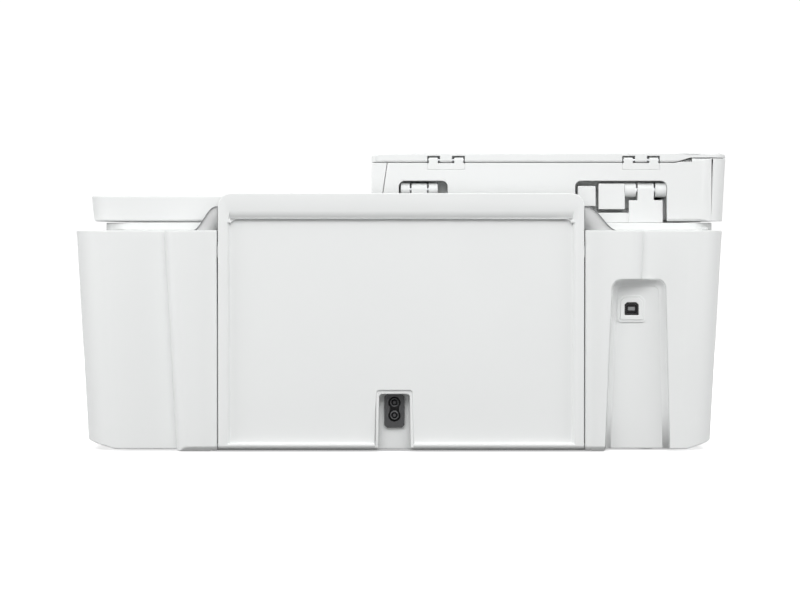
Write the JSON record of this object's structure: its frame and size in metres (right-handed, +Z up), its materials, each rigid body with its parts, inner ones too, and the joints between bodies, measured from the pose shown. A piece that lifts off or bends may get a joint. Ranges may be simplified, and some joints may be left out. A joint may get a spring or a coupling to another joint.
{
  "type": "inkjet printer",
  "caption": "Desktop inkjet printer with flatbed scanner and document feeder, lift-up rear paper tray, hinged lid, printing carriage and sliding output tray",
  "frame": {"origin": "on the ground under the middle of the bounding box", "axes": "+X across the width to the left as seen from behind (the shoulder side), +Y from the front to the rear with the paper tray, +Z up"},
  "size_m": [0.436, 0.332, 0.2],
  "materials": {
    "shell_white": "fine moulded grain, matte",
    "trim_grey": "satin, light grey",
    "mid_plastic": "satin, mid grey",
    "dark_plastic": "matte, dark grey",
    "panel_plastic": "satin, dark grey",
    "black_plastic": "semi-gloss black",
    "rubber": "dull rubber",
    "steel": "plated sheet and rod",
    "glass": "clear float glass",
    "circuit_board": "green solder resist",
    "gear_plastic": "unpainted acetal, cream",
    "foam_white": "white foam with a smooth skin"
  },
  "bodies": {
    "chassis": {"lower_housing": "shell_white", "rear_pods": "shell_white", "base_pan": "dark_plastic", "rubber_feet": "rubber", "slot_cheeks": "trim_grey", "power_inlet": "dark_plastic", "usb_socket": "trim_grey", "power_supply": "dark_plastic", "main_board": "circuit_board", "scanner_base": "shell_white", "scanner_glass": "glass", "cis_rail": "steel", "cis_rack": "mid_plastic", "shoulder_cover": "shell_white", "control_panel": "panel_plastic", "hinge_towers": "shell_white", "paper_ramp": "mid_plastic", "roller_frame": "steel", "platen": "dark_plastic", "feed_motor": "steel", "carriage_rail": "steel", "carriage_belt": "rubber", "carriage_motor": "steel", "service_station": "trim_grey"},
    "lid": {"lid_housing": "shell_white", "lid_end_cap": "shell_white", "pressure_pad": "foam_white", "hinge_pins": "steel"},
    "feeder_cover": {"adf_cover": "shell_white"},
    "feeder_roller": {"adf_roller": "rubber"},
    "tray_carrier": {"tray_runners": "trim_grey"},
    "rear_tray": {"input_tray": "shell_white"},
    "guide_left": {"width_guide_left": "mid_plastic"},
    "guide_right": {"width_guide_right": "mid_plastic"},
    "guide_gear": {"guide_pinion": "gear_plastic"},
    "exit_tray": {"output_tray": "dark_plastic"},
    "exit_extender": {"tray_extender": "dark_plastic"},
    "door": {"cartridge_door": "shell_white"},
    "print_carriage": {"carriage": "dark_plastic", "black_cartridge": "black_plastic", "color_cartridge": "dark_plastic"},
    "latch_black": {"black_latch": "trim_grey"},
    "latch_color": {"color_latch": "mid_plastic"},
    "drive_pulley": {"carriage_pulley": "steel"},
    "return_pulley": {"idler_pulley": "gear_plastic"},
    "feed_shaft": {"feed_roller": "rubber"},
    "idler": {"idler_gear": "gear_plastic"},
    "pick_idler": {"pick_idler_gear": "gear_plastic"},
    "output_shaft": {"output_roller": "rubber"},
    "pick_shaft": {"pick_roller": "rubber"},
    "pinch_shaft": {"pinch_rollers": "trim_grey"},
    "pinion": {"motor_pinion": "steel"},
    "capping_sled": {"cap_sled": "mid_plastic"},
    "scan_bar": {"cis_bar": "dark_plastic"},
    "scan_gear": {"cis_pinion": "gear_plastic"},
    "key_power": {"power_button": "trim_grey"},
    "key_wireless": {"wireless_button": "trim_grey"},
    "key_cancel": {"cancel_button": "trim_grey"},
    "key_copy": {"copy_button": "trim_grey"},
    "key_scan": {"scan_button": "trim_grey"}
  },
  "joints": [
    {"name": "lid_hinge", "type": "hinge", "parent": "chassis", "child": "lid", "pos_m": [0, 0.136, 0.174], "axis": [-1, 0, 0], "range_deg": [0, 50]},
    {"name": "cover_hinge", "type": "hinge", "parent": "lid", "child": "feeder_cover", "pos_m": [0, 0.1404, 0.1939], "axis": [-1, 0, 0], "range_deg": [0, 50]},
    {"name": "feeder_roller_spin", "type": "hinge", "parent": "lid", "child": "feeder_roller", "pos_m": [-0.1, -0.038, 0.1789], "axis": [1, 0, 0], "continuous": true},
    {"name": "tray_lift", "type": "slide", "parent": "chassis", "child": "tray_carrier", "axis": [0, 0, 1], "range_m": [0, 0.105]},
    {"name": "tray_lean", "type": "hinge", "parent": "tray_carrier", "child": "rear_tray", "pos_m": [0, 0.156, 0.008], "axis": [-1, 0, 0], "range_deg": [0, 15]},
    {"name": "guide_left_slide", "type": "slide", "parent": "rear_tray", "child": "guide_left", "axis": [1, 0, 0], "range_m": [0, 0.055]},
    {"name": "guide_right_slide", "type": "slide", "parent": "rear_tray", "child": "guide_right", "axis": [1, 0, 0], "range_m": [-0.055, 0]},
    {"name": "guide_gear_spin", "type": "hinge", "parent": "rear_tray", "child": "guide_gear", "pos_m": [0, 0.157, 0.136], "axis": [0, 1, 0], "range_deg": [-452, 0]},
    {"name": "exit_tray_slide", "type": "slide", "parent": "chassis", "child": "exit_tray", "axis": [0, -1, 0], "range_m": [0, 0.09]},
    {"name": "extender_slide", "type": "slide", "parent": "exit_tray", "child": "exit_extender", "axis": [0, -1, 0], "range_m": [0, 0.075]},
    {"name": "door_hinge", "type": "hinge", "parent": "chassis", "child": "door", "pos_m": [0, -0.1619, 0.1313], "axis": [-1, 0, 0], "range_deg": [0, 80]},
    {"name": "carriage_slide", "type": "slide", "parent": "chassis", "child": "print_carriage", "axis": [-1, 0, 0], "range_m": [0, 0.255]},
    {"name": "black_latch_hinge", "type": "hinge", "parent": "print_carriage", "child": "latch_black", "pos_m": [0.1348, -0.0416, 0.0825], "axis": [1, 0, 0], "range_deg": [0, 60]},
    {"name": "color_latch_hinge", "type": "hinge", "parent": "print_carriage", "child": "latch_color", "pos_m": [0.1652, -0.0416, 0.0825], "axis": [1, 0, 0], "range_deg": [0, 60]},
    {"name": "drive_pulley_spin", "type": "hinge", "parent": "chassis", "child": "drive_pulley", "pos_m": [-0.175, 0.04, 0.108], "axis": [0, 1, 0], "range_deg": [0, 2032]},
    {"name": "return_pulley_spin", "type": "hinge", "parent": "chassis", "child": "return_pulley", "pos_m": [0.188, 0.04, 0.108], "axis": [0, 1, 0], "range_deg": [0, 2032]},
    {"name": "feed_roller_spin", "type": "hinge", "parent": "chassis", "child": "feed_shaft", "pos_m": [0, 0.058, 0.064], "axis": [1, 0, 0], "continuous": true},
    {"name": "idler_gear_spin", "type": "hinge", "parent": "chassis", "child": "idler", "pos_m": [-0.147, 0.01, 0.064], "axis": [1, 0, 0], "continuous": true},
    {"name": "output_roller_spin", "type": "hinge", "parent": "chassis", "child": "output_shaft", "pos_m": [0, -0.038, 0.064], "axis": [1, 0, 0], "continuous": true},
    {"name": "pick_idler_spin", "type": "hinge", "parent": "chassis", "child": "pick_idler", "pos_m": [-0.147, 0.09429, 0.07829], "axis": [1, 0, 0], "continuous": true},
    {"name": "pick_roller_spin", "type": "hinge", "parent": "chassis", "child": "pick_shaft", "pos_m": [0, 0.12592, 0.09076], "axis": [1, 0, 0], "continuous": true},
    {"name": "pinch_roller_spin", "type": "hinge", "parent": "chassis", "child": "pinch_shaft", "pos_m": [0, 0.059, 0.0743], "axis": [1, 0, 0], "continuous": true},
    {"name": "motor_pinion_spin", "type": "hinge", "parent": "chassis", "child": "pinion", "pos_m": [-0.147, 0.08052, 0.051], "axis": [1, 0, 0], "continuous": true},
    {"name": "cap_sled_lift", "type": "slide", "parent": "chassis", "child": "capping_sled", "axis": [0, 0, 1], "range_m": [0, 0.003]},
    {"name": "scan_bar_slide", "type": "slide", "parent": "chassis", "child": "scan_bar", "axis": [0, 1, 0], "range_m": [0, 0.262]},
    {"name": "scan_gear_spin", "type": "hinge", "parent": "scan_bar", "child": "scan_gear", "pos_m": [-0.0852, -0.14, 0.131], "axis": [0, 0, 1], "range_deg": [-1878, 0]},
    {"name": "power_press", "type": "slide", "parent": "chassis", "child": "key_power", "axis": [0, 0, -1], "range_m": [0, 0.0008], "stiffness_N_per_m": 250},
    {"name": "wireless_press", "type": "slide", "parent": "chassis", "child": "key_wireless", "axis": [0, 0, -1], "range_m": [0, 0.0008], "stiffness_N_per_m": 250},
    {"name": "cancel_press", "type": "slide", "parent": "chassis", "child": "key_cancel", "axis": [0, 0, -1], "range_m": [0, 0.0008], "stiffness_N_per_m": 250},
    {"name": "copy_press", "type": "slide", "parent": "chassis", "child": "key_copy", "axis": [0, 0, -1], "range_m": [0, 0.0008], "stiffness_N_per_m": 250},
    {"name": "scan_press", "type": "slide", "parent": "chassis", "child": "key_scan", "axis": [0, 0, -1], "range_m": [0, 0.0008], "stiffness_N_per_m": 250}
  ],
  "couplings": [
    {"joint": "guide_right_slide", "follows": "guide_left_slide", "ratio": -1},
    {"joint": "guide_gear_spin", "follows": "guide_left_slide", "rad_per_m": -142.86},
    {"joint": "drive_pulley_spin", "follows": "carriage_slide", "rad_per_m": 138.89},
    {"joint": "return_pulley_spin", "follows": "carriage_slide", "rad_per_m": 138.89},
    {"joint": "idler_gear_spin", "follows": "feed_roller_spin", "ratio": -0.71429},
    {"joint": "output_roller_spin", "follows": "feed_roller_spin", "ratio": 1},
    {"joint": "pick_idler_spin", "follows": "feed_roller_spin", "ratio": -1.0526},
    {"joint": "pick_roller_spin", "follows": "feed_roller_spin", "ratio": 1.3333},
    {"joint": "motor_pinion_spin", "follows": "feed_roller_spin", "ratio": -3.3333},
    {"joint": "pinch_roller_spin", "follows": "feed_roller_spin", "ratio": -1.5},
    {"joint": "scan_gear_spin", "follows": "scan_bar_slide", "rad_per_m": -125}
  ]
}
